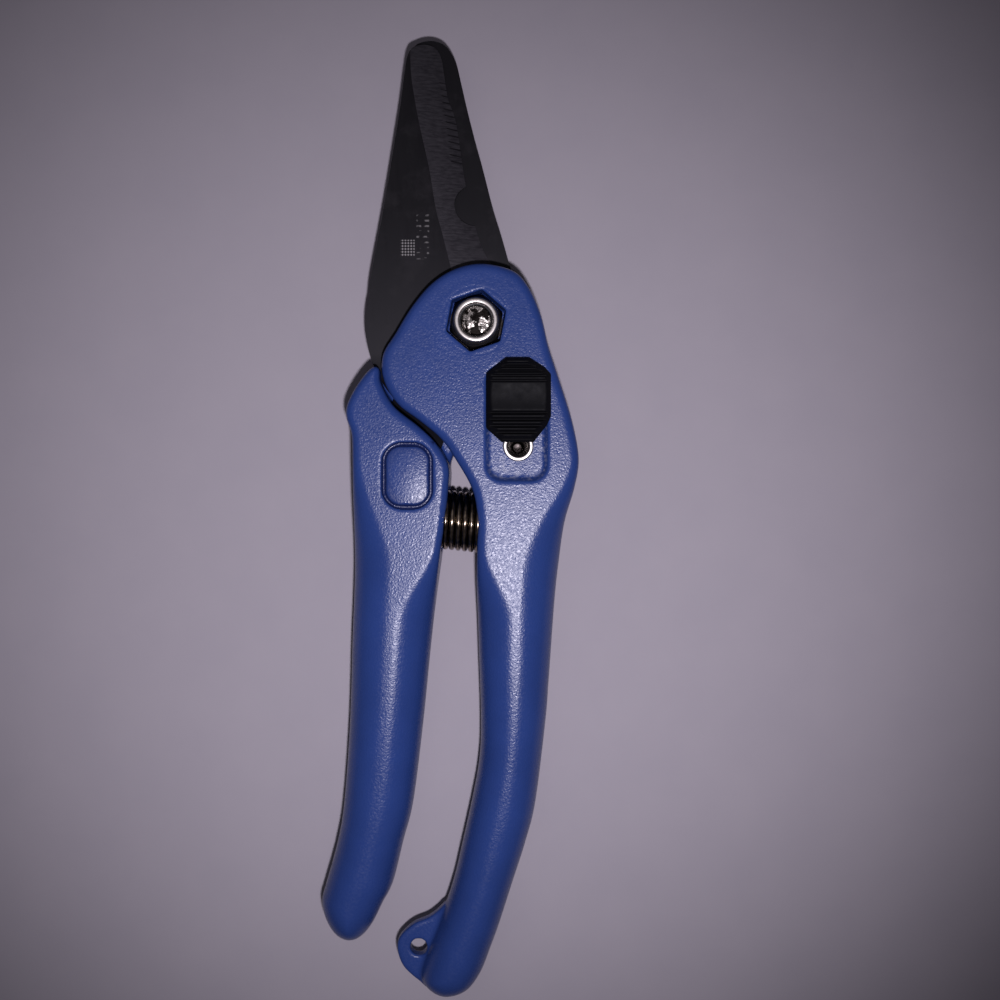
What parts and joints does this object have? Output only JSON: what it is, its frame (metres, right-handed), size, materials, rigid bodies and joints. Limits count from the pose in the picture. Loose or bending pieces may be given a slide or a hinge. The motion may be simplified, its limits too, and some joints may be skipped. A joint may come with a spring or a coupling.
{
  "type": "floral snips",
  "caption": "Hand snips for cut flowers: crossed levers with tapered blades, a wire notch, a sliding lock and a coil spring that opens them",
  "frame": {"origin": "middle of the closed tool's footprint, on the surface it lies on", "axes": "+Z out of the front face, +Y towards the blade tips, +X to the right"},
  "size_m": [0.0534, 0.1999, 0.019],
  "materials": {
    "blue_plastic": "moulded, fine spark-eroded grain, satin",
    "black_plastic": "moulded, satin",
    "blade_steel": "black coated flats, ground bevel",
    "plated_steel": "bright zinc plate",
    "spring_steel": "black oiled wire",
    "nylon": "dark nylon"
  },
  "bodies": {
    "front_lever": {"front_handle": "blue_plastic", "front_blade": "blade_steel", "pivot_bolt": "plated_steel", "pivot_nut": "plated_steel", "nut_insert": "nylon", "nut_washer": "plated_steel", "spring_washer": "plated_steel", "front_rivet": "plated_steel", "return_spring": "spring_steel"},
    "rear_lever": {"rear_handle": "blue_plastic", "rear_blade": "blade_steel", "rear_rivet": "plated_steel", "rivet_cover": "blue_plastic"},
    "lock_slider": {"lock_button": "black_plastic", "lock_catch": "plated_steel"}
  },
  "joints": [
    {"name": "pivot", "type": "hinge", "parent": "front_lever", "child": "rear_lever", "pos_m": [0.00565, 0.0402, 0.008], "axis": [0, 0, -1], "range_deg": [0, 28], "stiffness_Nm_per_rad": 1.66, "springref_deg": 34.38, "deforming": ["return_spring"]},
    {"name": "lock_slide", "type": "slide", "parent": "front_lever", "child": "lock_slider", "axis": [0, -1, 0], "range_m": [0, 0.0065]}
  ]
}
